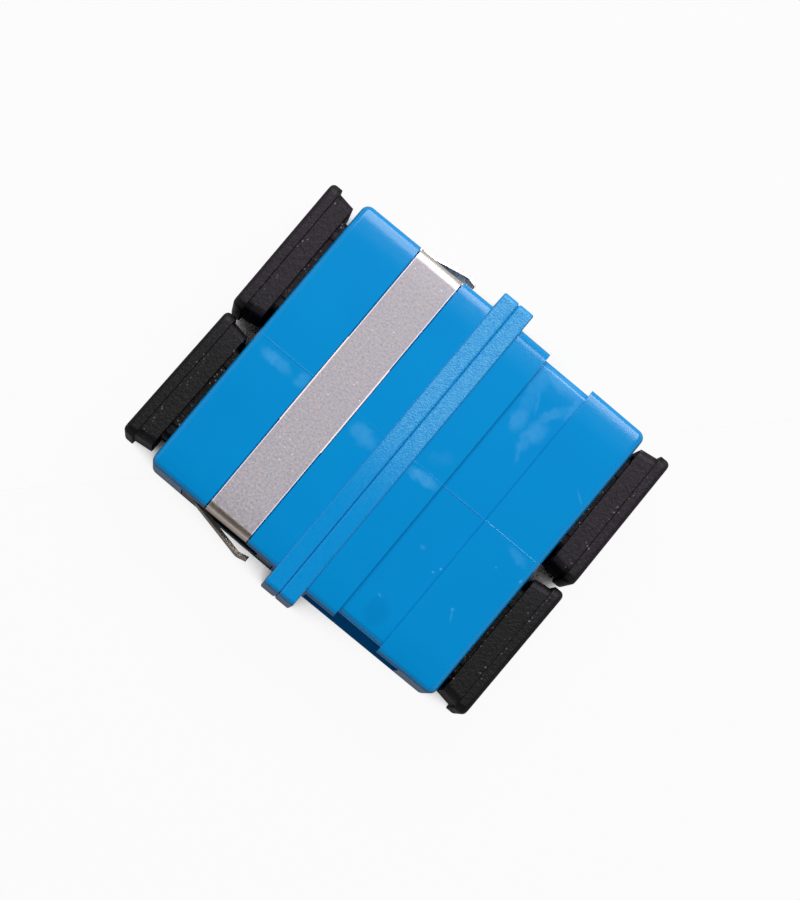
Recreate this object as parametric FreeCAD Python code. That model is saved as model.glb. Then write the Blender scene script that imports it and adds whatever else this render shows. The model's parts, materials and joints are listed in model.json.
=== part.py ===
"""Duplex SC fibre adapter, reduced-flange type, with a panel clip and four dust caps.

Millimetres.  The fibre channels run along X, the flange weld plane is X = 0 and the
two channels lie side by side along Y.  The adapter lies on its broad underside at
Z = 0, and the panel clip is on the -X half.
"""
import FreeCAD, Part
import os

V = FreeCAD.Vector

# ---- Driving dimensions: moulded housing -------------------------------------------
PITCH = 12.7              # between the two fibre channels
BODY_WIDTH = 25.8         # Y, the part that passes through the panel cut-out
BODY_DRAFT = 0.11         # each side draws in by this much from the flange to the port end
BODY_HEIGHT = 9.3         # Z
HALF_LENGTH = 13.8        # X, weld plane to port end of one half
BODY_CORNER_R = 0.65      # upright corners at the port end
BODY_EDGE_R = 0.5         # long edges and the rim of the port end

FLANGE_WIDTH = 28.6       # Y
FLANGE_THICKNESS = 1.4    # X, one half's share
FLANGE_STANDS_PROUD = 0.2 # above the top face; the underside is flush
FLANGE_CORNER_R = 0.42    # corners seen along X
WELD_GROOVE_R = 0.22      # round on the weld-plane edge: two make the groove
FLANGE_OUTER_CHAMFER = 0.1 # on the panel-side edge

PORT_WIDTH = 9.05         # Y
PORT_HEIGHT = 7.45        # Z
PORT_LEAD_IN = 0.35       # chamfer round the mouth
KEYWAY_WIDTH = 2.3
KEYWAY_DEPTH = 0.55
CENTRE_SLOT_WIDTH = 1.6   # cored-out slot between the two ports
CENTRE_SLOT_HEIGHT = 6.2
CENTRE_SLOT_FLOOR = 2.6   # left solid next to the weld plane

CHANNEL_START = 5.35      # from the port end
CHANNEL_WIDTH = 4.2       # X
CHANNEL_TOP_DEPTH = 0.4
CHANNEL_SIDE_DEPTH = 0.55
CHANNEL_ROOT_R = 0.15     # where channel floor turns down the side

POCKET_START = 3.15       # from the port end
POCKET_END_LAND = 0.2     # left standing beside the flange
POCKET_DEPTH = 1.0
POCKET_LIP = 0.9          # wall left above and below

# ---- Driving dimensions: latch insert and sleeve -----------------------------------
SEAT_WIDTH = 10.2         # recess in the housing for the insert's plate
SEAT_HEIGHT = 8.1
SEAT_DEPTH = 1.1
SEAT_CLEARANCE = 0.05     # plate to recess, each side

FERRULE_D = 2.5
SLEEVE_BORE_D = 2.494     # unloaded; it springs open over the ferrule
SLEEVE_WALL = 0.353
SLEEVE_LENGTH = 11.4
SLEEVE_SLIT = 0.5
SLEEVE_FLOAT = 0.15       # radial, sleeve in its holder
SLEEVE_END_PLAY = 0.15    # at each end
HOLDER_WALL = 0.7
HOLDER_LIP = 0.95         # X, closes the end of the holder
HOLDER_LIP_CLEARANCE = 0.2  # ferrule to lip at its narrow end, radial
HOLDER_LEAD_IN = 0.35     # the lip is a taper that opens by this much toward the port
LATCH_HEIGHT = 3.4        # Z
LATCH_THICKNESS = 0.8
LATCH_INNER_Y = 3.3       # inner face from the channel axis
LATCH_NOSE_DEPTH = 5.5    # X, from the port end in to the hooks' noses
LATCH_HOOK = 0.5          # how far the hook stands in
LATCH_HOOK_LENGTH = 1.1
HOLDER_NOSE_CHAMFER = 0.3

# ---- Driving dimensions: panel clip ------------------------------------------------
CLIP_SHEET = 0.3
CLIP_BEND_R = 0.35        # inside
STRAP_GAP = 0.07          # strap to channel wall, each side
STRAP_NECK_INSET = 0.05   # the outer thirds are narrower than the middle
STRAP_WAIST = 8.1         # Y, length of the wider middle
CLIP_SIDE_GAP = 0.15      # strap leg to channel floor at the side
CLIP_PLATE_GAP = 0.1      # plate to pocket walls along X
CLIP_PLATE_BOTTOM_GAP = 0.3 # plate to the lip below it
CLIP_PLATE_TOP_GAP = 0.1  # plate to the lip above it
TONGUE_HEIGHT = 4.5       # Z
TONGUE_SLOT = 0.3         # punched gap round the tongue
TONGUE_ROOT = 4.3         # X from the port end
TONGUE_BEND = 9.5
TONGUE_TIP = 10.35
TONGUE_REACH = 1.0        # how far it stands out past the body side
TONGUE_TIP_TURN = 0.2     # the tip turns back in by this much
TONGUE_BEND_R = 0.7       # inside

# ---- Driving dimensions: dust cap --------------------------------------------------
CAP_LID_THICKNESS = 0.95  # X
CAP_LID_LENGTH = 12.0     # Y
CAP_LID_HEIGHT = 9.0      # Z
CAP_LID_CORNER_R = 0.75
CAP_LID_EDGE_R = 0.4
CAP_BLOCK_THICKNESS = 1.5 # X
CAP_BLOCK_STEP_Y = 0.32   # lid to block at each end
CAP_BLOCK_STEP_Z = 0.15   # lid to block above and below
CAP_BLOCK_DRAFT = 0.22    # how far the block's ends draw in
CAP_BLOCK_CORNER_R = 0.7
CAP_PLUG_LENGTH = 5.25    # X, from the block
CAP_PLUG_CLEARANCE = 0.22 # plug to port, each side
CAP_PLUG_WALL = 0.85
CAP_PLUG_CORNER_R = 0.5
CAP_PLUG_LEAD_IN = 0.3
CAP_HOLLOW_FLOOR = 1.2    # solid left under the lid's outer face
CAP_RIB_WIDTH = 0.5
CAP_RIB_CLEARANCE = 0.1   # rib crest to port wall

# ---- Where each dust cap sits: (side, channel): (gap to the housing, turn about Z) -----
CAP_SEATS = {
    ("clip", "left"): (0.50, -0.15),
    ("clip", "right"): (0.53, -1.35),
    ("plain", "left"): (0.37, 0.55),
    ("plain", "right"): (0.38, -0.4),
}

# ---- Worked out from the above -----------------------------------------------------
AXIS_Z = BODY_HEIGHT / 2
CHANNELS = {"left": PITCH / 2, "right": -PITCH / 2}
SLEEVE_OUTER_R = SLEEVE_BORE_D / 2 + SLEEVE_WALL
HOLDER_BORE_R = SLEEVE_OUTER_R + SLEEVE_FLOAT
HOLDER_OUTER_R = HOLDER_BORE_R + HOLDER_WALL
HOLDER_LIP_R = FERRULE_D / 2 + HOLDER_LIP_CLEARANCE
HOLDER_BORE_END = SLEEVE_LENGTH / 2 + SLEEVE_END_PLAY
HOLDER_LENGTH = HOLDER_BORE_END + HOLDER_LIP
POCKET_X0 = FLANGE_THICKNESS + POCKET_END_LAND
POCKET_X1 = HALF_LENGTH - POCKET_START
CHANNEL_X1 = HALF_LENGTH - CHANNEL_START
CHANNEL_X0 = CHANNEL_X1 - CHANNEL_WIDTH
OVER = 1.0                # how far a cutting tool runs past the face it breaks


# ---- Helpers -----------------------------------------------------------------------
def block(x0, x1, y0, y1, z0, z1):
    """A box between two opposite corners."""
    return Part.makeBox(x1 - x0, y1 - y0, z1 - z0, V(x0, y0, z0))


def centred(x0, x1, width, height):
    """A box from x0 to x1 whose section is centred on the X axis."""
    return block(x0, x1, -width / 2, width / 2, -height / 2, height / 2)


def rounded(x0, x1, width, height, radius):
    """As centred(), with its four long edges rounded."""
    box = centred(x0, x1, width, height)
    return box.makeFillet(radius, edges_along(box, V(1, 0, 0)))


def edges_along(shape, direction):
    """The straight edges that run along a direction."""
    found = []
    for edge in shape.Edges:
        if isinstance(edge.Curve, (Part.Line, Part.LineSegment)):
            start, end = edge.Vertexes[0].Point, edge.Vertexes[-1].Point
            if (end - start).normalize().cross(direction).Length < 1e-6:
                found.append(edge)
    return found


def edges_at(shape, axis, value):
    """The edges that lie wholly in the plane axis = value."""
    low, high = axis + "Min", axis + "Max"
    return [edge for edge in shape.Edges
            if abs(getattr(edge.BoundBox, low) - value) < 1e-4
            and abs(getattr(edge.BoundBox, high) - value) < 1e-4]


def tube_along_x(x0, x1, radius):
    """A round bar on the X axis."""
    return Part.makeCylinder(radius, x1 - x0, V(x0, 0, 0), V(1, 0, 0))


def extruded(points, direction):
    """A closed outline of straight runs, pushed along a direction."""
    wire = Part.makePolygon(points + [points[0]])
    return Part.Face(wire).extrude(direction)


def both_sides(shape):
    """The shape and its mirror image across the XZ plane."""
    return [shape, shape.mirror(V(0, 0, 0), V(0, 1, 0))]


# ---- Housing half, drawn on the +X side of the weld plane --------------------------
def body_block():
    """The plain moulded block behind the port end, with its mould draft in plan."""
    wide, narrow = BODY_WIDTH / 2, BODY_WIDTH / 2 - BODY_DRAFT
    outline = [V(0, -wide, 0), V(HALF_LENGTH, -narrow, 0), V(HALF_LENGTH, narrow, 0), V(0, wide, 0)]
    body = extruded(outline, V(0, 0, BODY_HEIGHT))
    upright = [edge for edge in edges_along(body, V(0, 0, 1)) if edge.CenterOfMass.x > 1]
    body = body.makeFillet(BODY_CORNER_R, upright)
    rim = [edge for level in (0, BODY_HEIGHT) for edge in edges_at(body, "Z", level)
           if edge.BoundBox.XMax > 1]
    return body.makeFillet(BODY_EDGE_R, rim)


def flange_plate():
    """The stop flange, rounded on both of its outlines."""
    height = BODY_HEIGHT + FLANGE_STANDS_PROUD
    plate = rounded(0, FLANGE_THICKNESS, FLANGE_WIDTH, height, FLANGE_CORNER_R)
    plate.translate(V(0, 0, height / 2))
    plate = plate.makeFillet(WELD_GROOVE_R, edges_at(plate, "X", 0))
    return plate.makeChamfer(FLANGE_OUTER_CHAMFER, edges_at(plate, "X", FLANGE_THICKNESS))


def clip_channel():
    """The strap's channel over the top face and down both sides, to the pockets."""
    side_y = BODY_WIDTH / 2 - CHANNEL_SIDE_DEPTH
    floor_z = BODY_HEIGHT - CHANNEL_TOP_DEPTH
    x0, x1 = CHANNEL_X0, CHANNEL_X1
    around = block(x0, x1, -BODY_WIDTH, BODY_WIDTH, AXIS_Z, BODY_HEIGHT + OVER)
    core = block(x0 - OVER, x1 + OVER, -side_y, side_y, 0, floor_z)
    shoulders = [edge for edge in edges_along(core, V(1, 0, 0)) if edge.CenterOfMass.z > AXIS_Z]
    return around.cut(core.makeFillet(CHANNEL_ROOT_R + CLIP_BEND_R, shoulders))


def side_pocket():
    """The pocket in the +Y side that takes the clip's plate and its tongue."""
    return block(POCKET_X0, POCKET_X1, BODY_WIDTH / 2 - POCKET_DEPTH, BODY_WIDTH / 2 + OVER,
                 POCKET_LIP, BODY_HEIGHT - POCKET_LIP)


def port_space():
    """Everything cored out of one channel: port, mouth, keyway and the insert's seat."""
    port = centred(-OVER, HALF_LENGTH + OVER, PORT_WIDTH, PORT_HEIGHT)
    seat = centred(-OVER, SEAT_DEPTH, SEAT_WIDTH, SEAT_HEIGHT)
    keyway = block(SEAT_DEPTH, HALF_LENGTH + OVER, -KEYWAY_WIDTH / 2, KEYWAY_WIDTH / 2,
                   -PORT_HEIGHT / 2 - KEYWAY_DEPTH, 0)
    return port.fuse([seat, keyway, mouth_taper()])


def mouth_taper():
    """The lead-in chamfer: a four-sided taper that widens toward the port end."""
    def ring(x, grow):
        half_y, half_z = PORT_WIDTH / 2 + grow, PORT_HEIGHT / 2 + grow
        return Part.makePolygon([V(x, -half_y, -half_z), V(x, half_y, -half_z),
                                 V(x, half_y, half_z), V(x, -half_y, half_z),
                                 V(x, -half_y, -half_z)])
    start = ring(HALF_LENGTH - PORT_LEAD_IN, 0)
    end = ring(HALF_LENGTH + OVER, PORT_LEAD_IN + OVER)
    return Part.makeLoft([start, end], True, True)


def centre_slot():
    """The slot between the ports that keeps the wall sections even."""
    slot = centred(CENTRE_SLOT_FLOOR, HALF_LENGTH + OVER, CENTRE_SLOT_WIDTH, CENTRE_SLOT_HEIGHT)
    slot.translate(V(0, 0, AXIS_Z))
    return slot


def housing_half():
    """One moulded half; the adapter is two of these, welded back to back."""
    solid = body_block().fuse(flange_plate())
    cuts = [clip_channel(), centre_slot()] + both_sides(side_pocket())
    for y in CHANNELS.values():
        space = port_space()
        space.translate(V(0, y, AXIS_Z))
        cuts.append(space)
    return solid.cut(cuts).removeSplitter()


# ---- Latch insert, on its own axis -------------------------------------------------
def latch_arm():
    """The springy arm on the +Y side, with its hook turned in toward the axis."""
    y0, y1 = LATCH_INNER_Y, LATCH_INNER_Y + LATCH_THICKNESS
    root, nose = SEAT_DEPTH, HALF_LENGTH - LATCH_NOSE_DEPTH
    hook_start = nose - LATCH_HOOK_LENGTH
    outline = [V(root - OVER / 2, y0, 0), V(root, y0, 0), V(hook_start, y0, 0),
               V(hook_start, y0 - LATCH_HOOK, 0), V(nose - LATCH_HOOK_LENGTH / 2, y0 - LATCH_HOOK, 0),
               V(nose, y0 + LATCH_THICKNESS / 4, 0), V(nose, y1, 0), V(root - OVER / 2, y1, 0)]
    arm = extruded(outline, V(0, 0, LATCH_HEIGHT))
    arm.translate(V(0, 0, -LATCH_HEIGHT / 2))
    return arm


def latch_insert():
    """Plate, sleeve holder and two latch arms, moulded in one."""
    width, height = SEAT_WIDTH - 2 * SEAT_CLEARANCE, SEAT_HEIGHT - 2 * SEAT_CLEARANCE
    plate = centred(0, SEAT_DEPTH, width, height)
    holder = tube_along_x(0, HOLDER_LENGTH, HOLDER_OUTER_R)
    body = plate.fuse([holder] + both_sides(latch_arm())).removeSplitter()
    body = body.makeChamfer(HOLDER_NOSE_CHAMFER, edges_at(body, "X", HOLDER_LENGTH))
    bore = tube_along_x(-OVER, HOLDER_BORE_END, HOLDER_BORE_R)
    lip = Part.makeCone(HOLDER_LIP_R, HOLDER_LIP_R + HOLDER_LEAD_IN, HOLDER_LIP,
                        V(HOLDER_BORE_END, 0, 0), V(1, 0, 0))
    return body.cut([bore, lip])


def split_sleeve():
    """The spring sleeve that lines two ferrules up: a tube with one slit."""
    half = SLEEVE_LENGTH / 2
    tube = tube_along_x(-half, half, SLEEVE_OUTER_R)
    bore = tube_along_x(-half - OVER, half + OVER, SLEEVE_BORE_D / 2)
    slit = block(-half - OVER, half + OVER, -SLEEVE_SLIT / 2, SLEEVE_SLIT / 2,
                 0, SLEEVE_OUTER_R + OVER)
    return tube.cut([bore, slit])


# ---- Panel clip, drawn on the +X side like the housing half ------------------------
def folded_band(x0, x1, drop_to):
    """Sheet bent over the top face and down both sides, from x0 to x1."""
    inner_y = BODY_WIDTH / 2 - CHANNEL_SIDE_DEPTH + CLIP_SIDE_GAP
    inner_z = BODY_HEIGHT - CHANNEL_TOP_DEPTH
    def hood(grow):
        solid = block(x0, x1, -inner_y - grow, inner_y + grow, drop_to - AXIS_Z, inner_z + grow)
        bends = [edge for edge in edges_along(solid, V(1, 0, 0)) if edge.CenterOfMass.z > AXIS_Z]
        return solid.makeFillet(CLIP_BEND_R + grow, bends)
    band = hood(CLIP_SHEET).cut(hood(0))
    return band.common(block(x0, x1, -BODY_WIDTH, BODY_WIDTH, drop_to, BODY_HEIGHT + OVER))


def plate_levels():
    """Lowest and highest Z of the clip's side plates."""
    return POCKET_LIP + CLIP_PLATE_BOTTOM_GAP, BODY_HEIGHT - POCKET_LIP - CLIP_PLATE_TOP_GAP


def side_plate():
    """The plate inside the +Y pocket, with the window its tongue was punched from."""
    y0 = BODY_WIDTH / 2 - CHANNEL_SIDE_DEPTH + CLIP_SIDE_GAP
    low, high = plate_levels()
    plate = block(POCKET_X0 + CLIP_PLATE_GAP, POCKET_X1 - CLIP_PLATE_GAP,
                  y0, y0 + CLIP_SHEET, low, high)
    half = TONGUE_HEIGHT / 2 + TONGUE_SLOT
    window = block(HALF_LENGTH - TONGUE_TIP - TONGUE_SLOT, HALF_LENGTH - TONGUE_ROOT,
                   y0 - OVER, y0 + OVER, AXIS_Z - half, AXIS_Z + half)
    return plate.cut(window)


def tongue():
    """The sprung tongue on the +Y side; its end catches behind the panel."""
    y0 = BODY_WIDTH / 2 - CHANNEL_SIDE_DEPTH + CLIP_SIDE_GAP
    reach = BODY_WIDTH / 2 + TONGUE_REACH
    root, bend, tip = (HALF_LENGTH - d for d in (TONGUE_ROOT, TONGUE_BEND, TONGUE_TIP))
    outline = [V(root, y0, 0), V(root, y0 + CLIP_SHEET, 0), V(bend, reach, 0),
               V(tip, reach - TONGUE_TIP_TURN, 0), V(tip, reach - TONGUE_TIP_TURN - CLIP_SHEET, 0),
               V(bend, reach - CLIP_SHEET, 0)]
    strip = extruded(outline, V(0, 0, TONGUE_HEIGHT))
    upright = [edge for edge in edges_along(strip, V(0, 0, 1)) if abs(edge.CenterOfMass.x - bend) < 1e-4]
    inside, outside = sorted(upright, key=lambda edge: edge.CenterOfMass.y)
    strip = strip.makeFillet(TONGUE_BEND_R, [inside])
    outer = [edge for edge in edges_along(strip, V(0, 0, 1))
             if (edge.CenterOfMass - outside.CenterOfMass).Length < 1e-4]
    strip = strip.makeFillet(TONGUE_BEND_R + CLIP_SHEET, outer)
    strip.translate(V(0, 0, AXIS_Z - TONGUE_HEIGHT / 2))
    return strip


def panel_clip():
    """One folded sheet: strap, two side plates and two tongues."""
    x0, x1 = CHANNEL_X0 + STRAP_GAP, CHANNEL_X1 - STRAP_GAP
    low, high = plate_levels()
    strap = folded_band(x0, x1, high - CLIP_SHEET)
    for edge_x, inward in ((x0, 1), (x1, -1)):
        for side in (1, -1):
            near, far = side * STRAP_WAIST / 2, side * BODY_WIDTH
            a, b = sorted((edge_x - inward * OVER, edge_x + inward * STRAP_NECK_INSET))
            strap = strap.cut(block(a, b, min(near, far), max(near, far), 0, BODY_HEIGHT + OVER))
    pieces = both_sides(side_plate()) + both_sides(tongue())
    return strap.fuse(pieces).removeSplitter()


# ---- Dust cap, on the channel's axis, block face at X = 0 and plug toward -X -------
def cap_block():
    """The block behind the lid; its ends draw in toward the housing."""
    half_y = CAP_LID_LENGTH / 2 - CAP_BLOCK_STEP_Y
    height = CAP_LID_HEIGHT - 2 * CAP_BLOCK_STEP_Z
    outline = [V(CAP_BLOCK_THICKNESS, half_y, 0), V(CAP_BLOCK_THICKNESS, -half_y, 0),
               V(0, CAP_BLOCK_DRAFT - half_y, 0), V(0, half_y - CAP_BLOCK_DRAFT, 0)]
    solid = extruded(outline, V(0, 0, height))
    solid.translate(V(0, 0, -height / 2))
    ends = [edge for edge in solid.Edges if abs(edge.CenterOfMass.z) > height / 2 - 1e-4
            and abs(edge.CenterOfMass.y) > half_y - CAP_BLOCK_DRAFT - 1e-4]
    return solid.makeFillet(CAP_BLOCK_CORNER_R, ends)


def cap_lid():
    """The lid, rounded at its corners and softened round its outer face."""
    outer = CAP_BLOCK_THICKNESS + CAP_LID_THICKNESS
    lid = rounded(CAP_BLOCK_THICKNESS, outer, CAP_LID_LENGTH, CAP_LID_HEIGHT, CAP_LID_CORNER_R)
    return lid.makeFillet(CAP_LID_EDGE_R, edges_at(lid, "X", outer))


def plug_ribs(width, height):
    """Crush ribs along the plug: two on each broad side and one on each narrow side."""
    crest = CAP_PLUG_CLEARANCE - CAP_RIB_CLEARANCE
    start = CAP_PLUG_LEAD_IN - CAP_PLUG_LENGTH
    upright = [block(start, OVER / 2, y - CAP_RIB_WIDTH / 2, y + CAP_RIB_WIDTH / 2,
                     -height / 2 - crest, height / 2 + crest)
               for y in (-width / 3, width / 3)]
    sideways = block(start, OVER / 2, -width / 2 - crest, width / 2 + crest,
                     -CAP_RIB_WIDTH / 2, CAP_RIB_WIDTH / 2)
    return upright + [sideways]


def dust_cap():
    """Lid, block and hollow plug, moulded in one soft piece."""
    width, height = PORT_WIDTH - 2 * CAP_PLUG_CLEARANCE, PORT_HEIGHT - 2 * CAP_PLUG_CLEARANCE
    plug = rounded(-CAP_PLUG_LENGTH, OVER / 2, width, height, CAP_PLUG_CORNER_R)
    plug = plug.makeChamfer(CAP_PLUG_LEAD_IN, edges_at(plug, "X", -CAP_PLUG_LENGTH))
    solid = cap_lid().fuse([cap_block(), plug] + plug_ribs(width, height))
    floor = CAP_BLOCK_THICKNESS + CAP_LID_THICKNESS - CAP_HOLLOW_FLOOR
    hollow = centred(-CAP_PLUG_LENGTH - OVER, floor, width - 2 * CAP_PLUG_WALL,
                     height - 2 * CAP_PLUG_WALL)
    return solid.cut(hollow).removeSplitter()


# ---- Assembly ----------------------------------------------------------------------
def to_clip_side(shape):
    """Turn a piece drawn on the +X side round to the -X side."""
    return shape.rotate(V(0, 0, 0), V(0, 0, 1), 180)


def place_cap(side, channel):
    """A dust cap in its port, at the gap and slight turn it sits with."""
    gap, turn = CAP_SEATS[(side, channel)]
    cap = dust_cap()
    cap.rotate(V(-CAP_PLUG_LENGTH / 2, 0, 0), V(0, 0, 1), turn)
    if side == "clip":
        to_clip_side(cap)
    direction = -1 if side == "clip" else 1
    cap.translate(V(direction * (HALF_LENGTH + gap), CHANNELS[channel], AXIS_Z))
    return cap


def place_insert(side, channel):
    """A latch insert in its seat at the weld plane."""
    insert = latch_insert()
    if side == "clip":
        to_clip_side(insert)
    insert.translate(V(0, CHANNELS[channel], AXIS_Z))
    return insert


def build_nodes():
    """Every piece of the adapter, by name."""
    nodes = {
        "housing_clip_half": to_clip_side(housing_half()),
        "housing_plain_half": housing_half(),
        "panel_clip": to_clip_side(panel_clip()),
    }
    for channel, y in CHANNELS.items():
        sleeve = split_sleeve()
        sleeve.translate(V(0, y, AXIS_Z))
        nodes["split_sleeve_" + channel] = sleeve
        for side in ("clip", "plain"):
            nodes["latch_insert_%s_%s" % (side, channel)] = place_insert(side, channel)
            nodes["dust_cap_%s_%s" % (side, channel)] = place_cap(side, channel)
    return nodes


def main():
    """Write one STEP file for each piece."""
    os.makedirs("parts", exist_ok=True)
    for name, shape in build_nodes().items():
        shape.exportStep("parts/%s.step" % name)
        print("%-24s solids %d  volume %9.3f mm3  valid %s"
              % (name, len(shape.Solids), shape.Volume, shape.isValid()))


main()
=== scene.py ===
# %% [markdown]
# # A duplex SC fibre adapter with its dust caps on
# The adapter joins fibre plugs end to end through a panel. It is two blue moulded
# halves welded at a stop flange, a folded steel clip on one half and four black
# caps. The solids come ready made in real size, so this file is about finish:
# softened edges, mould marks, sheet steel, soft black plastic, light and camera.

# %% Load the solids
import bpy
import json
from math import radians
from mathutils import Euler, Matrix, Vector

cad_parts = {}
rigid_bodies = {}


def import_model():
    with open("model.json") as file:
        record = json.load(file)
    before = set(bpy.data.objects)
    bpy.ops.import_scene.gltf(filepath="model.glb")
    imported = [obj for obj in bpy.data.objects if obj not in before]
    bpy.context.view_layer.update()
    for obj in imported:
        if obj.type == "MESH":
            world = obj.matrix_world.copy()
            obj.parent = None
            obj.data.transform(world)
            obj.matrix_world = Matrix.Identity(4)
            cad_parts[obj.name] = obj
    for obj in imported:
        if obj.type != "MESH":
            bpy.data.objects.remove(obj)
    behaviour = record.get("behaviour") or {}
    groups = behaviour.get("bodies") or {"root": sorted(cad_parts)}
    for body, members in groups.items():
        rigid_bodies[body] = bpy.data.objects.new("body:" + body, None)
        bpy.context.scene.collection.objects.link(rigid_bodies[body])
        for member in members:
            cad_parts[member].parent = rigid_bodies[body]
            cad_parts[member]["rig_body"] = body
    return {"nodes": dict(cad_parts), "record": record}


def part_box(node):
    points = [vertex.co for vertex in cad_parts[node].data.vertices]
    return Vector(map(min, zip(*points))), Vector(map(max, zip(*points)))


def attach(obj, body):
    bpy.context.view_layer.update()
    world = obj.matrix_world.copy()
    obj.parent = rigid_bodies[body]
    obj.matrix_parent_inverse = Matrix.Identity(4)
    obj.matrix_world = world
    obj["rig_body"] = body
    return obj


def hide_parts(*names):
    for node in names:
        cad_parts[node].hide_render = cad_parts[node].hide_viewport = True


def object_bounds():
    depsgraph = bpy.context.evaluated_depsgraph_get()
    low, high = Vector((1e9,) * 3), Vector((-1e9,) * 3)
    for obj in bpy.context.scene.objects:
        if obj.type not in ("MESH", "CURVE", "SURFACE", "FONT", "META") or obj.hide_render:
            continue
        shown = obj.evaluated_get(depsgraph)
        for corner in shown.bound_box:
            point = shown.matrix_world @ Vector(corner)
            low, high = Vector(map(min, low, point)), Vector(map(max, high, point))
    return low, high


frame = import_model()
box_of_solids = [list(corner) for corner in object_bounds()]
MM = 0.001
print("solids:", len(frame["nodes"]), "box in mm:",
      [[round(v / MM, 2) for v in corner] for corner in box_of_solids])

# %% [markdown]
# The clip half lies on the -X side, the two channels lie side by side along Y, and
# +Z points up out of the broad face. X is counted from the weld between the halves
# and Z from the underside. A place that a solid's box gives is read off the box,
# and the others are written out.

# %% The main places
plain_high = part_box("housing_plain_half")[1]
sleeve_low, sleeve_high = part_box("split_sleeve_left")
PORT_END = plain_high.x
FLANGE_TOP = plain_high.z
CHANNEL_Y = (sleeve_low.y + sleeve_high.y) / 2
BODY_SIDE = 12.9 * MM  # half the width of the body
BODY_TOP = FLANGE_TOP - 0.2 * MM
FLANGE_FACE = 1.4 * MM  # X where the flange ends, on both halves
CHANNEL_TOP = BODY_TOP - 0.4 * MM  # floor of the shallow channel across the plain half
CHANNEL_FROM, CHANNEL_TO = 4.25 * MM, PORT_END - 5.35 * MM
STRAP_FROM, STRAP_TO = -8.38 * MM, -4.32 * MM  # the clip's strap
FOLD_Y = 12.0 * MM  # about where the strap starts to fold down
GAP_MIDDLE, GAP_REACH = 14.0 * MM, 0.3 * MM  # |X| of the gap between a port and its cap
LID_CREASE = 15.4 * MM  # |X| where a cap's block meets its lid
print("port end at", round(PORT_END / MM, 2), "mm, fibre axes at +-",
      round(CHANNEL_Y / MM, 2), "mm")

# %% [markdown]
# Colours are written as on a paint chart, in sRGB hex. The shaders work in linear
# light, so one function turns the one into the other.

# %% From a hex colour to linear light
def linear(hex_colour):
    """An sRGB hex colour as linear red, green, blue and full alpha."""
    parts = [int(hex_colour[i:i + 2], 16) / 255 for i in (1, 3, 5)]
    return [c / 12.92 if c <= 0.04045 else ((c + 0.055) / 1.055) ** 2.4 for c in parts] + [1.0]


print("cap black in linear light:", [round(c, 3) for c in linear("#2C282D")])

# %% [markdown]
# A material is a small network of nodes. One helper adds a node, sets it up and
# joins its sockets. The others only call it, for the kinds of node that come up
# again and again, so that each finish below reads as a list of what it is made of.

# %% Add one node
def add_node(material, kind, sockets=None, **settings):
    """A new node: settings are its own, sockets take a value or another node's output."""
    node = material.node_tree.nodes.new(kind)
    for name, value in settings.items():
        setattr(node, name, value)
    for name, value in (sockets or {}).items():
        if isinstance(value, bpy.types.NodeSocket):
            material.node_tree.links.new(value, node.inputs[name])
        else:
            node.inputs[name].default_value = value
    return node


def bare_material(name):
    """An empty material with its surface, its output and the object's own coordinates."""
    material = bpy.data.materials.new(name)
    material.use_nodes = True
    material.node_tree.nodes.clear()
    surface = add_node(material, "ShaderNodeBsdfPrincipled")
    add_node(material, "ShaderNodeOutputMaterial", {"Surface": surface.outputs["BSDF"]})
    place = add_node(material, "ShaderNodeTexCoord").outputs["Object"]
    return material, surface, place


def drive(material, surface, **sources):
    """Join each named socket of the surface to its source; an underscore stands for a space."""
    for name, source in sources.items():
        material.node_tree.links.new(source, surface.inputs[name.replace("_", " ")])


print("one helper adds every node")

# %% The nodes that come up again and again
def split(material, place):
    """The X, Y and Z of a place."""
    axes = add_node(material, "ShaderNodeSeparateXYZ", {"Vector": place})
    return [axes.outputs[axis] for axis in "XYZ"]


def per_size(millimetres):
    """The scale that makes a pattern's repeat this long."""
    return 1 / (millimetres * MM)


def noise(material, place, millimetres, detail, roughness=0.5, distortion=0.0):
    """A cloudy pattern whose largest blots are about this long."""
    return add_node(material, "ShaderNodeTexNoise",
                    {"Vector": place, "Scale": per_size(millimetres), "Detail": detail,
                     "Roughness": roughness, "Distortion": distortion})


def cells(material, place, millimetres):
    """How far each place is from the nearest of many scattered dots."""
    return add_node(material, "ShaderNodeTexVoronoi",
                    {"Vector": place, "Scale": per_size(millimetres)}).outputs["Distance"]


def ramp(material, value, low, high, at_low=0.0, at_high=1.0, **settings):
    """A number that goes from at_low to at_high while the value goes from low to high."""
    return add_node(material, "ShaderNodeMapRange",
                    {"Value": value, "From Min": low, "From Max": high,
                     "To Min": at_low, "To Max": at_high}, **settings).outputs["Result"]


def reckon(material, operation, *values):
    """One step of arithmetic on numbers and other nodes' outputs."""
    return add_node(material, "ShaderNodeMath", dict(enumerate(values)),
                    operation=operation).outputs[0]


def largest(material, masks):
    """One mask from several: the largest value at each place."""
    total = masks[0]
    for mask in masks[1:]:
        total = reckon(material, "MAXIMUM", total, mask)
    return total


def blend(material, factor, a, b):
    """A colour that goes from a to b with the factor; each a hex colour or an output."""
    a, b = [linear(colour) if isinstance(colour, str) else colour for colour in (a, b)]
    return add_node(material, "ShaderNodeMix", {"Factor": factor, "A": a, "B": b},
                    data_type="RGBA").outputs["Result"]


def between(material, factor, a, b):
    """A number that goes from a to b with the factor."""
    return add_node(material, "ShaderNodeMix", {"Factor": factor, "A": a, "B": b},
                    data_type="FLOAT").outputs["Result"]


def relief(material, height, strength, millimetres):
    """A surface direction tilted as if by a relief of this height."""
    return add_node(material, "ShaderNodeBump",
                    {"Height": height, "Strength": strength,
                     "Distance": millimetres * MM}).outputs["Normal"]


print("a 0.2 mm grain has scale", per_size(0.2))

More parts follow.
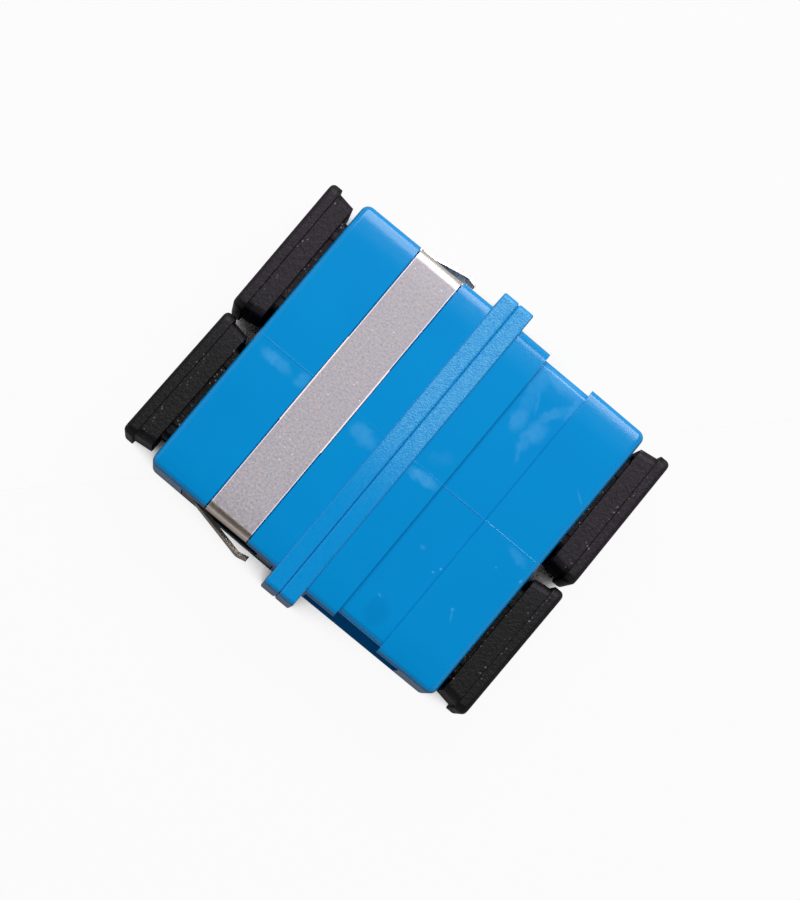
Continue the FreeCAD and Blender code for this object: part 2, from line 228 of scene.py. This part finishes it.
# %% [markdown]
# ## The blue housing
# The halves are injection moulded in a glossy thermoplastic polyester (PBT), dyed
# blue right through. The body has an even soft shine, as from polished steel, and
# the flange a fine grain, as from a spark-eroded mould, which scatters light and
# looks paler: the grain is painted paler, a painted sheen that grows toward the +Y
# end, on the side of the soft box. Object coordinates tell the two places apart.

# %% A smear on a moulded face
def smear(material, place, centre, half_sizes, turn, strength):
    """A mask: this strength at the centre, fading to 0 at the half sizes, turned about Z."""
    local = add_node(material, "ShaderNodeMapping",
                     {"Vector": place, "Location": [v * MM for v in centre],
                      "Rotation": (0, 0, radians(turn)),
                      "Scale": [v * MM for v in half_sizes] + [MM]}, vector_type="TEXTURE")
    reach = add_node(material, "ShaderNodeVectorMath", {0: local.outputs["Vector"]},
                     operation="LENGTH")
    return ramp(material, reach.outputs["Value"], 0.3, 1.0, strength, 0.0,
                interpolation_type="SMOOTHSTEP")


print("a smear's mask is three nodes")

# %% [markdown]
# The shine of the broad face isn't even. Paler veils lie beside its middle line and,
# in a fork, across the +Y end of the channel, with a few small specks, and one patch
# at the channel's -Y end is deeper blue.

# %% Where the body is veiled, specked or deeper
# each: centre in mm, half sizes in mm, turn about Z in degrees, strength
BESIDE_THE_LINE = [((-11.4, -0.85, 9.3), (1.9, 0.7), 0, 0.5),
                   ((-8.95, -0.8, 9.3), (0.8, 0.8), 20, 0.35),
                   ((-2.7, -1.0, 9.3), (1.7, 0.9), -8, 0.45),
                   ((2.8, -0.55, 9.3), (1.7, 0.6), 4, 0.6),
                   ((2.9, 1.5, 9.3), (1.3, 0.8), 30, 0.12),
                   ((12.0, -0.55, 9.3), (1.3, 0.5), -12, 0.28)]
FORK = [((4.9, 10.6, 8.9), (0.9, 1.8), 0, 0.3), ((5.7, 9.6, 8.9), (0.25, 1.4), 27, 0.3),
        ((5.25, 8.9, 8.9), (0.8, 1.6), 5, 0.22), ((5.5, 7.6, 8.9), (0.8, 1.4), 8, 0.45),
        ((7.3, 9.4, 8.9), (0.55, 2.2), -27, 0.38), ((7.1, 7.5, 8.9), (1.0, 1.4), -20, 0.48),
        ((6.85, 6.6, 8.9), (0.65, 1.5), 8, 0.38), ((7.15, 5.5, 8.9), (0.25, 1.1), 14, 0.28),
        ((6.35, 11.8, 8.9), (2.8, 0.9), 0, 0.45), ((8.2, 10.7, 8.9), (0.5, 1.6), 0, 0.4)]
SPECKS = [((8.2, -4.95, 8.9), (0.13, 0.13), 0, 1.0), ((7.9, -5.5, 8.9), (0.15, 0.1), 30, 0.9),
          ((6.1, -4.55, 8.9), (0.3, 0.22), 0, 0.3), ((5.9, -9.4, 8.9), (0.25, 0.08), -15, 0.8),
          ((10.8, -6.75, 9.3), (0.16, 0.2), 0, 0.6), ((11.05, -7.2, 9.3), (0.07, 0.6), 28, 0.5),
          ((13.4, -1.85, 9.2), (0.14, 0.25), 0, 0.7), ((12.8, 5.9, 9.3), (0.8, 0.09), -35, 0.35),
          ((11.3, -2.2, 9.3), (0.12, 0.12), 0, 0.4)]
DEEPER = ((6.5, -10.5, 8.9), (1.25, 1.7), 0, 0.3)


def body_blue(material, place):
    """The polished body's colour."""
    # broad, faint differences over several millimetres
    flow = noise(material, place, 5.0, 2.0, 0.4).outputs["Fac"]
    even_blue = blend(material, flow, "#0084C8", "#008BCD")
    # a veil's outline wanders by a third of a millimetre and its strength is uneven
    cloud = noise(material, place, 0.7, 3.0, 0.6)
    wander = add_node(material, "ShaderNodeVectorMath",
                      {0: cloud.outputs["Color"], 1: (0.5, 0.5, 0.5)}, operation="SUBTRACT")
    wandered = add_node(material, "ShaderNodeVectorMath",
                        {0: wander.outputs["Vector"], 1: (0.9 * MM, 0.9 * MM, 0.0), 2: place},
                        operation="MULTIPLY_ADD").outputs["Vector"]
    uneven = ramp(material, cloud.outputs["Fac"], 0.3, 0.6, 0.55, 1.0)
    veils = [smear(material, wandered, *spot) for spot in BESIDE_THE_LINE + FORK]
    veil = reckon(material, "MULTIPLY", largest(material, veils), uneven)
    marks = largest(material, [veil] + [smear(material, place, *spot) for spot in SPECKS])
    marked_blue = blend(material, marks, even_blue, "#4AA2DD")
    return blend(material, smear(material, wandered, *DEEPER), marked_blue, "#006FB4")


print("veils:", len(BESIDE_THE_LINE) + len(FORK), "specks:", len(SPECKS))

# %% Moulded blue PBT
BODY_SHINE = 0.15  # a roughness, as the next two are
FLANGE_SHINE = (0.14, 0.4)  # from no grain to the deepest
POLISH_LINES = 0.045  # how high the polishing lines are beside the flange's pits
# the same Y range takes the flange from faint to full painted sheen toward +Y
GRAIN_AND_SHEEN_FADE = (-7.0 * MM, 6.0 * MM)  # Y over which the flange's grain goes from faint to deep


def moulded_blue_pbt():
    material, surface, place = bare_material("moulded_blue_pbt")
    x, y = split(material, place)[:2]
    from_weld = reckon(material, "ABSOLUTE", x)
    on_flange = ramp(material, from_weld, FLANGE_FACE - 0.04 * MM, FLANGE_FACE + 0.04 * MM,
                     1.0, 0.0)
    # the flange's grain, a fifth of a millimetre across, is deepest at its +Y end, and is painted
    # paler there: painted sheen, strongest on the side of the soft box
    grain = ramp(material, noise(material, place, 0.2, 3.0, 0.6).outputs["Fac"], 0.35, 0.65)
    grain_depth_and_painted_sheen = ramp(material, y, *GRAIN_AND_SHEEN_FADE, 0.1, 0.95, interpolation_type="SMOOTHSTEP")
    painted_grain_sheen = reckon(material, "MULTIPLY", grain, grain_depth_and_painted_sheen)
    flange_blue = blend(material, painted_grain_sheen, "#0089CE", "#3A9FD6")
    flange_shine = ramp(material, grain_depth_and_painted_sheen, 0.0, 1.0, *FLANGE_SHINE)
    # the body has faint polishing lines along X, and the flange has pits
    stroke = add_node(material, "ShaderNodeMapping", {"Vector": place, "Scale": (0.03, 1.0, 1.0)})
    lines = noise(material, stroke.outputs["Vector"], 0.35, 1.0).outputs["Fac"]
    faint_lines = reckon(material, "MULTIPLY", lines, POLISH_LINES)
    pits = noise(material, place, 0.13, 2.0, 0.5).outputs["Fac"]
    deep_pits = reckon(material, "MULTIPLY", pits, grain_depth_and_painted_sheen)
    height = between(material, on_flange, faint_lines, deep_pits)
    surface.inputs["IOR"].default_value = 1.5
    surface.inputs["Specular IOR Level"].default_value = 0.4
    drive(material, surface,
          Base_Color=blend(material, on_flange, body_blue(material, place), flange_blue),
          Roughness=between(material, on_flange, BODY_SHINE, flange_shine),
          Normal=relief(material, height, 1.0, 0.05))
    return material


blue_pbt = moulded_blue_pbt()
print("made", blue_pbt.name)

# %% [markdown]
# ## The steel clip
# It is bare stainless sheet with the look that tumbling leaves: dull, finely
# speckled faces and a few bright nicks. A painted highlight runs along both long
# edges of the strap. The +Y fold is painted brighter, as a painted highlight on the
# bend, the -Y fold is browner, and the plate below it is painted darker, as painted
# shade in its pocket.

# %% Tumbled stainless sheet
# where the painted highlight along each long edge of the strap lies
EDGE_HIGHLIGHT_INNER, EDGE_HIGHLIGHT_OUTER = 0.14 * MM, 0.08 * MM  # from the strap's edge
STRAP_DEPTH = 0.35 * MM  # steel this near the body's top is the strap
POCKET_SIDE = 12.86 * MM  # |Y| that the plate lies within; the fold and tongue reach beyond


def tumbled_stainless_sheet():
    material, surface, place = bare_material("tumbled_stainless_sheet")
    x, y, z = split(material, place)
    # dents a fifth of a millimetre across, with finer grains in them
    dents = noise(material, place, 0.2, 4.0, 0.7).outputs["Fac"]
    mottle = ramp(material, dents, 0.3, 0.7)
    # the light grey leans to blue in places and to pink in others
    tint = ramp(material, noise(material, place, 0.45, 2.0, 0.6).outputs["Fac"], 0.35, 0.65)
    light_steel = blend(material, tint, "#CCCAD3", "#D5CDCF")
    dull_steel = blend(material, mottle, "#979199", light_steel)
    nick = ramp(material, cells(material, place, 0.8), 0.04, 0.09, 0.6, 0.0)
    nicked_steel = blend(material, nick, dull_steel, "#F6F3F2")
    # the -Y fold is browner, and the plate in its pocket, below the fold, is painted darker still:
    # painted shade where the pocket keeps the light off
    below_the_fold = ramp(material, z, 8.5 * MM, 8.2 * MM)
    in_the_pocket = reckon(material, "GREATER_THAN", y, -POCKET_SIDE)
    painted_pocket_shade = reckon(material, "MULTIPLY", below_the_fold, in_the_pocket)
    browner_fold_and_pocket_shade = blend(material, painted_pocket_shade, "#C9BCB2", "#6E6661")
    minus_y_fold = ramp(material, y, 0.05 * MM - FOLD_Y, -0.1 * MM - FOLD_Y)
    browned_and_shaded_steel = blend(material, minus_y_fold, nicked_steel, browner_fold_and_pocket_shade)
    # the painted highlights along the strap's long edges are a tenth of a millimetre wide
    half_width = (STRAP_TO - STRAP_FROM) / 2
    from_middle = reckon(material, "SUBTRACT", x, (STRAP_FROM + STRAP_TO) / 2)
    near_an_edge = ramp(material, reckon(material, "ABSOLUTE", from_middle),
                        half_width - EDGE_HIGHLIGHT_INNER, half_width - EDGE_HIGHLIGHT_OUTER)
    on_the_strap = reckon(material, "GREATER_THAN", z, BODY_TOP - STRAP_DEPTH)
    painted_edge_highlight = reckon(material, "MULTIPLY", near_an_edge, on_the_strap)
    edge_highlighted_steel = blend(material, painted_edge_highlight, browned_and_shaded_steel, "#F4EAEC")
    # the +Y fold is painted near white: a painted highlight where the bend catches the soft box
    highlighted_fold = ramp(material, y, FOLD_Y - 0.1 * MM, FOLD_Y + 0.3 * MM)
    # both folds are smoother than the strap between them
    dullness = ramp(material, dents, 0.3, 0.7, 0.62, 0.85)
    surface.inputs["Metallic"].default_value = 1.0
    drive(material, surface,
          Base_Color=blend(material, highlighted_fold, edge_highlighted_steel, "#E6DFDB"),
          Roughness=between(material, largest(material, [highlighted_fold, minus_y_fold]), dullness, 0.34),
          Normal=relief(material, dents, 0.8, 0.03))
    return material


steel_sheet = tumbled_stainless_sheet()
print("made", steel_sheet.name)

# %% [markdown]
# ## The black caps
# Dust caps like these are moulded in soft PVC, dyed black. The surface is matte with
# a fine leathery grain, and a soft plastic like this shows no sharp reflections.

# %% Moulded black PVC
CRUMBS_FROM, CRUMBS_FULL, CRUMBS_TO = 15.2 * MM, 15.6 * MM, 15.9 * MM  # |X| beside the lid
# the caps are painted greyer toward +Y over this range: painted light from the soft box
PAINTED_LIGHT_OVER = (-4.0 * MM, 4.0 * MM)  # Y over which the black goes from deep to grey
FACING_IN = -1.2 * MM  # X of a place times X of its direction: less on a face turned inward


def moulded_black_pvc():
    material, surface, place = bare_material("moulded_black_pvc")
    x, y = split(material, place)[:2]
    from_weld = reckon(material, "ABSOLUTE", x)
    grain = noise(material, place, 0.3, 4.0, 0.65, distortion=0.6).outputs["Fac"]
    leather = ramp(material, grain, 0.35, 0.65)
    # the two caps on the +Y channel are painted greyer: painted light, as they are nearer the soft
    # box
    painted_light = ramp(material, y, *PAINTED_LIGHT_OVER)
    dark = blend(material, painted_light, "#020102", "#120D14")
    light = blend(material, painted_light, "#0A070B", "#241C26")
    black = blend(material, leather, dark, light)
    # pale crumbs lie here and there near the lid's edge and in the gap before the port
    crumb = ramp(material, cells(material, place, 0.32), 0.16, 0.26, 1.0, 0.0)
    by_the_lid = ramp(material, from_weld, CRUMBS_FROM, CRUMBS_FULL, 0.0, 0.8)
    before_the_lid = reckon(material, "LESS_THAN", from_weld, CRUMBS_TO)
    beside_the_lid = reckon(material, "MULTIPLY", by_the_lid, before_the_lid)
    in_the_gap = reckon(material, "COMPARE", from_weld, GAP_MIDDLE, GAP_REACH)
    here_and_there = ramp(material, noise(material, place, 1.5, 1.0).outputs["Fac"], 0.46, 0.56)
    crumbly = reckon(material, "MULTIPLY", largest(material, [beside_the_lid, in_the_gap]),
                     here_and_there)
    crumbs = reckon(material, "MULTIPLY", crumbly, crumb)
    crumbed_black = blend(material, crumbs, black, "#7C757B")
    # the lid's inner side and its crease with the block are painted deep black: painted shade,
    # where the lid keeps the light off
    direction = add_node(material, "ShaderNodeTexCoord").outputs["Normal"]
    outward = reckon(material, "MULTIPLY", split(material, direction)[0], x)
    facing_in = reckon(material, "LESS_THAN", outward, FACING_IN)
    on_the_lid = reckon(material, "GREATER_THAN", from_weld, LID_CREASE)
    painted_crease_shade = reckon(material, "MULTIPLY", facing_in, on_the_lid)
    surface.inputs["Roughness"].default_value = 0.5
    surface.inputs["IOR"].default_value = 1.5
    surface.inputs["Specular IOR Level"].default_value = 0.22
    drive(material, surface,
          Base_Color=blend(material, painted_crease_shade, crumbed_black, "#020102"),
          Normal=relief(material, grain, 1.0, 0.05))
    return material


black_pvc = moulded_black_pvc()
print("made", black_pvc.name)

# %% [markdown]
# ## Inside the ports
# The latch inserts are moulded in undyed polyester, a warm off-white, and the
# sleeves are ground zirconia, a dense white ceramic. They show once a cap is out.

# %% Natural PBT and ground zirconia
def natural_pbt():
    material, surface, place = bare_material("natural_pbt")
    cloud = noise(material, place, 2.5, 2.0, 0.5).outputs["Fac"]
    surface.inputs["Roughness"].default_value = 0.42
    surface.inputs["IOR"].default_value = 1.5
    drive(material, surface, Base_Color=blend(material, cloud, "#DCD8CC", "#E8E5DA"))
    return material


def ground_zirconia():
    material, surface, place = bare_material("ground_zirconia")
    # the grinding marks run round the sleeve, as rings set close along X
    squeezed = add_node(material, "ShaderNodeMapping",
                        {"Vector": place, "Scale": (1.0, 0.05, 0.05)})
    rings = noise(material, squeezed.outputs["Vector"], 0.08, 1.0).outputs["Fac"]
    surface.inputs["Base Color"].default_value = linear("#F0EFEA")
    surface.inputs["Roughness"].default_value = 0.2
    surface.inputs["IOR"].default_value = 2.1
    drive(material, surface, Normal=relief(material, rings, 0.6, 0.004))
    return material


natural, zirconia = natural_pbt(), ground_zirconia()
FINISH = {"housing_blue": blue_pbt, "clip_steel": steel_sheet, "insert_natural": natural,
          "sleeve_ceramic": zirconia, "cap_black": black_pvc}
print("finishes:", ", ".join(sorted(m.name for m in FINISH.values())))

# %% Give every solid its finish
for part in frame["record"]["subparts"]:
    solid = frame["nodes"][part["node"]]
    solid.data.materials.clear()
    solid.data.materials.append(FINISH[part["material_slot"]])

# %% [markdown]
# ## Softened edges
# No moulded or stamped edge is perfectly sharp, and the thin line of light along
# each edge is what makes a small part look real. The solids' own meshes stay as
# they are, so a copy is taken, its loose triangles are merged and its flat faces
# joined again, and then a bevel runs along its sharp edges.

# %% Copy a solid and soften it
SAME_CORNER = 0.0005 * MM
FLAT_WITHIN, SMOOTH_WITHIN, SHARP_BEYOND = radians(0.5), radians(32), radians(28)


def pick_up(piece):
    """Object mode, with only this piece selected and active."""
    if bpy.context.object and bpy.context.object.mode != "OBJECT":
        bpy.ops.object.mode_set(mode="OBJECT")
    bpy.ops.object.select_all(action="DESELECT")
    piece.select_set(True)
    bpy.context.view_layer.objects.active = piece


def merged_copy(node, name):
    """A copy of a solid with shared corners and whole flat faces."""
    pick_up(frame["nodes"][node])
    bpy.ops.object.duplicate()
    piece = bpy.context.object
    bpy.ops.object.parent_clear(type="CLEAR_KEEP_TRANSFORM")
    piece.name = piece.data.name = name
    for key in [k for k in piece.keys() if k.startswith("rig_")]:
        del piece[key]
    bpy.ops.mesh.customdata_custom_splitnormals_clear()
    bpy.ops.object.mode_set(mode="EDIT")
    bpy.ops.mesh.select_all(action="SELECT")
    bpy.ops.mesh.remove_doubles(threshold=SAME_CORNER)
    bpy.ops.mesh.dissolve_limited(angle_limit=FLAT_WITHIN)
    bpy.ops.object.mode_set(mode="OBJECT")
    return piece


def select_only(piece, kind, wanted):
    """In edit mode, only the faces, or else corners, for which wanted(one) is true."""
    bpy.ops.object.mode_set(mode="EDIT")
    bpy.ops.mesh.select_mode(type=kind)
    bpy.ops.mesh.select_all(action="DESELECT")
    bpy.ops.object.mode_set(mode="OBJECT")
    for one in piece.data.polygons if kind == "FACE" else piece.data.vertices:
        one.select = wanted(one)
    bpy.ops.object.mode_set(mode="EDIT")


def soften(piece, width):
    """A bevel of this width along every sharp edge."""
    pick_up(piece)
    bevel = piece.modifiers.new("soften", "BEVEL")
    bevel.width = width
    bevel.segments = 2
    bevel.limit_method = "ANGLE"
    bevel.angle_limit = SHARP_BEYOND
    bevel.miter_outer = "MITER_ARC"
    bpy.ops.object.modifier_apply(modifier=bevel.name)


def even_shading(piece):
    """Smooth round the bevels, with the large faces left looking flat."""
    pick_up(piece)
    bpy.ops.object.shade_smooth_by_angle(angle=SMOOTH_WITHIN)
    weighted = piece.modifiers.new("weighted", "WEIGHTED_NORMAL")
    weighted.keep_sharp = True
    bpy.ops.object.modifier_apply(modifier=weighted.name)


print("ready to soften edges")

# %% [markdown]
# The broad face isn't quite flat: both long edges fall away by a tenth of a
# millimetre. The faces are cut across in rows, and each row nearer the edge is
# moved down a little more.

# %% Let the broad faces fall away at their long edges
# each row: Y, and how much lower everything beyond it goes, both in mm
CROWN = [(10.0, 0.005), (10.5, 0.012), (10.9, 0.014), (11.25, 0.016), (11.6, 0.018),
         (11.95, 0.02), (12.25, 0.018)]
CROWN_FROM = CHANNEL_TOP - 0.3 * MM  # lower faces are left alone
UPWARD, LEVEL = 0.05, 0.99  # least Z of a direction that points up, or nearly straight up
SPARE = 0.05 * MM  # room to spare when a place is compared with a plane


def crown(piece):
    """Lower the top of a body or strap toward its two long edges, row by row."""
    pick_up(piece)

    def on_top(face):
        return (face.center.z > CROWN_FROM and face.normal.z > UPWARD
                and abs(face.center.x) > FLANGE_FACE)

    for side in (1, -1):
        def beyond(corner):
            place = corner.co
            return ((row + 0.01) * MM < side * place.y < BODY_SIDE + SPARE
                    and CROWN_FROM < place.z < BODY_TOP + SPARE
                    and abs(place.x) > FLANGE_FACE - 0.02 * MM)

        for row, _ in CROWN:
            select_only(piece, "FACE", on_top)
            bpy.ops.mesh.bisect(plane_co=(0, side * row * MM, 0), plane_no=(0, side, 0))
        for row, drop in CROWN:
            select_only(piece, "VERT", beyond)
            bpy.ops.transform.translate(value=(0, 0, -drop * MM))
    bpy.ops.object.mode_set(mode="OBJECT")


print("the faces fall by", round(sum(drop for row, drop in CROWN), 3), "mm")

# %% [markdown]
# A fine raised line runs along the middle of the broad face, as where two blocks of
# a mould meet. It is cut as a narrow strip down each face, extruded and narrowed,
# once the big edges are softened.

# %% Raise the mould line along the middle of a face
LINE_HALF_WIDTH = 0.06 * MM
LINE_NARROWS_TO = 0.35


def mould_line(piece, x_from, x_to, height):
    """A ridge at Y = 0 on the top face between these X, its height in mm."""
    pick_up(piece)

    def on_this_face(face):
        return (face.normal.z > LEVEL and face.center.z > CHANNEL_TOP - 0.1 * MM
                and x_from < face.center.x < x_to)

    for edge in (-LINE_HALF_WIDTH, LINE_HALF_WIDTH):
        select_only(piece, "FACE", on_this_face)
        bpy.ops.mesh.bisect(plane_co=(0, edge, 0), plane_no=(0, 1, 0))
    select_only(piece, "FACE", lambda face: on_this_face(face) and abs(face.center.y) < SPARE)
    bpy.ops.mesh.extrude_region_move(TRANSFORM_OT_translate={"value": (0, 0, height * MM)})
    bpy.ops.transform.resize(value=(1, LINE_NARROWS_TO, 1), center_override=(0, 0, 0))
    bpy.ops.object.mode_set(mode="OBJECT")


print("ready to raise a mould line")

# %% Soften the housing halves, the clip and the caps
# each: the piece's name, its bevel in mm, its slot
SOFTENED = {"housing_clip_half": ("blue_half_with_clip", 0.1, "housing_blue"),
            "housing_plain_half": ("blue_half_plain", 0.1, "housing_blue"),
            "panel_clip": ("folded_steel_clip", 0.06, "clip_steel")}
for node in frame["nodes"]:
    if node.startswith("dust_cap"):
        SOFTENED[node] = (node.replace("dust_cap", "black_cap"), 0.07, "cap_black")

dressed = {}
for node, (name, width, slot) in SOFTENED.items():
    piece = merged_copy(node, name)
    if slot != "cap_black":
        crown(piece)
    soften(piece, width * MM)
    body = frame["nodes"][node]["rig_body"]
    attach(piece, body)
    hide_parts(node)
    dressed[node] = piece
    print(name, "faces", len(piece.data.polygons))

# %% Mould lines on both halves
# each: the half, the X it runs between, its height in mm
LINES = [("housing_clip_half", -PORT_END, -8.6 * MM, 0.03),
         ("housing_clip_half", -4.1 * MM, -FLANGE_FACE, 0.008),
         ("housing_plain_half", FLANGE_FACE, CHANNEL_FROM, 0.01),
         ("housing_plain_half", CHANNEL_FROM, CHANNEL_TO, 0.04),
         ("housing_plain_half", CHANNEL_TO, PORT_END, 0.02)]
for node, x_from, x_to, height in LINES:
    mould_line(dressed[node], x_from, x_to, height)
for piece in dressed.values():
    even_shading(piece)
print("mould lines:", len(LINES))

# %% [markdown]
# ## Floor, light and camera
# A plain pale floor carries the shadow. One large soft box stands high on the +Y
# side, and the space right above is left dark, as a camera there leaves it: that
# keeps the blue deep and lights one long edge.

# %% Floor
FLOOR_DROP = 0.01 * MM  # below the underside, so that the two don't share a plane
FLOOR_GLOW, FLOOR_GLOW_IN_GLOSS = 0.95, 0.1  # share of glow as seen, and as mirrored
GAP_SIZE = 12.0 * MM  # walls nearer than this close a gap
GLOW_FADES = (0.15, 0.45)  # open share of the sky over which the glow comes in


def pale_floor():
    """White paper, most of it an even glow as seen, but plain lit paper to the light."""
    place = (0, 0, box_of_solids[0][2] - FLOOR_DROP)
    bpy.ops.mesh.primitive_plane_add(size=6.0, location=place)
    floor = bpy.context.object
    floor.name = "floor"
    material = bpy.data.materials.new("matt_white_paper")
    material.use_nodes = True
    material.node_tree.nodes.clear()
    paper = add_node(material, "ShaderNodeBsdfDiffuse", {"Color": linear("#A4A4A4")})
    # the glow fades at the bottom of a narrow gap, which little light reaches
    openness = add_node(material, "ShaderNodeAmbientOcclusion", {"Distance": GAP_SIZE},
                        samples=8)
    lit = ramp(material, openness.outputs["AO"], *GLOW_FADES)
    glow = add_node(material, "ShaderNodeEmission", {"Color": (1, 1, 1, 1), "Strength": lit})
    ray = add_node(material, "ShaderNodeLightPath").outputs
    seen = reckon(material, "MAXIMUM", ray["Is Camera Ray"], ray["Is Transmission Ray"])
    mirrored = reckon(material, "MULTIPLY", ray["Is Glossy Ray"], FLOOR_GLOW_IN_GLOSS)
    share = reckon(material, "MULTIPLY_ADD", seen, FLOOR_GLOW, mirrored)
    mixed = add_node(material, "ShaderNodeMixShader",
                     {0: share, 1: paper.outputs[0], 2: glow.outputs[0]})
    add_node(material, "ShaderNodeOutputMaterial", {"Surface": mixed.outputs[0]})
    floor.data.materials.append(material)
    return floor


floor = pale_floor()
print("floor at z =", round(floor.location.z / MM, 3), "mm")

# %% Room light
ROOM_LEVEL = 0.2  # as it lights a rough surface
OVERHEAD, LOW_WALLS, END_SCREENS = 0.02, 0.9, 0.4  # as seen, or mirrored in a gloss
WALL_TO_CEILING = (0.15, 0.75)  # Z of the direction over which the walls fade
SCREEN_EDGE = (0.4, 0.6)  # |X| of the direction over which an end screen comes in


def dim_room():
    """A dim room, dark overhead, with white walls low down and a pale screen at each end."""
    world = bpy.data.worlds.new("studio_room")
    world.use_nodes = True
    bpy.context.scene.world = world
    world.node_tree.nodes.clear()
    axes = split(world, add_node(world, "ShaderNodeTexCoord").outputs["Generated"])
    toward_an_end = reckon(world, "ABSOLUTE", axes[0])
    screen = ramp(world, toward_an_end, *SCREEN_EDGE, OVERHEAD, END_SCREENS)
    low_wall = ramp(world, axes[2], *WALL_TO_CEILING, LOW_WALLS, OVERHEAD)
    ray = add_node(world, "ShaderNodeLightPath").outputs
    seen = largest(world, [ray["Is Camera Ray"], ray["Is Glossy Ray"], ray["Is Transmission Ray"]])
    level = between(world, seen, ROOM_LEVEL, largest(world, [low_wall, screen]))
    room = add_node(world, "ShaderNodeBackground", {"Color": (1, 1, 1, 1), "Strength": level})
    add_node(world, "ShaderNodeOutputWorld", {"Surface": room.outputs[0]})
    return world


room = dim_room()
print("room:", room.name)

# %% Soft box
def soft_box(name, direction, distance, width, height, watts):
    """A rectangular area light that faces the adapter from a direction; sizes in metres."""
    data = bpy.data.lights.new(name, "AREA")
    data.shape = "RECTANGLE"
    data.size, data.size_y, data.energy = width, height, watts
    lamp = bpy.data.objects.new(name, data)
    bpy.context.scene.collection.objects.link(lamp)
    towards = Vector(direction).normalized()
    lamp.location = towards * distance
    lamp.rotation_euler = towards.to_track_quat("Z", "Y").to_euler()
    return lamp


lamp = soft_box("soft_box", direction=(-0.12, 0.68, 1.0), distance=0.3, width=0.27,
                height=0.184, watts=1.1)
print("lamp:", lamp.name, "at", [round(v, 2) for v in lamp.location], "m")

# %% Camera
SENSOR_MM, LENS_MM = 36.0, 156.9
CAMERA_TURN = (0.05970, -0.06408, 0.69349)  # radians about X, Y and Z
CAMERA_AIM = (0.145, 0.351, 4.65)  # mm
CAMERA_BACK = 300  # mm


def overhead_camera():
    """Almost straight down from 30 cm, turned by 40 degrees, as a small product is shot."""
    data = bpy.data.cameras.new("camera")
    data.sensor_width, data.lens = SENSOR_MM, LENS_MM
    camera = bpy.data.objects.new("camera", data)
    bpy.context.scene.collection.objects.link(camera)
    turn = Euler(CAMERA_TURN, "XYZ")
    camera.rotation_euler = turn
    camera.location = Vector(CAMERA_AIM) * MM + turn.to_matrix() @ Vector((0, 0, CAMERA_BACK * MM))
    bpy.context.scene.camera = camera
    return camera


camera = overhead_camera()
bpy.context.scene.view_settings.view_transform = "Standard"
print("camera at", [round(v / MM, 1) for v in camera.location], "mm")
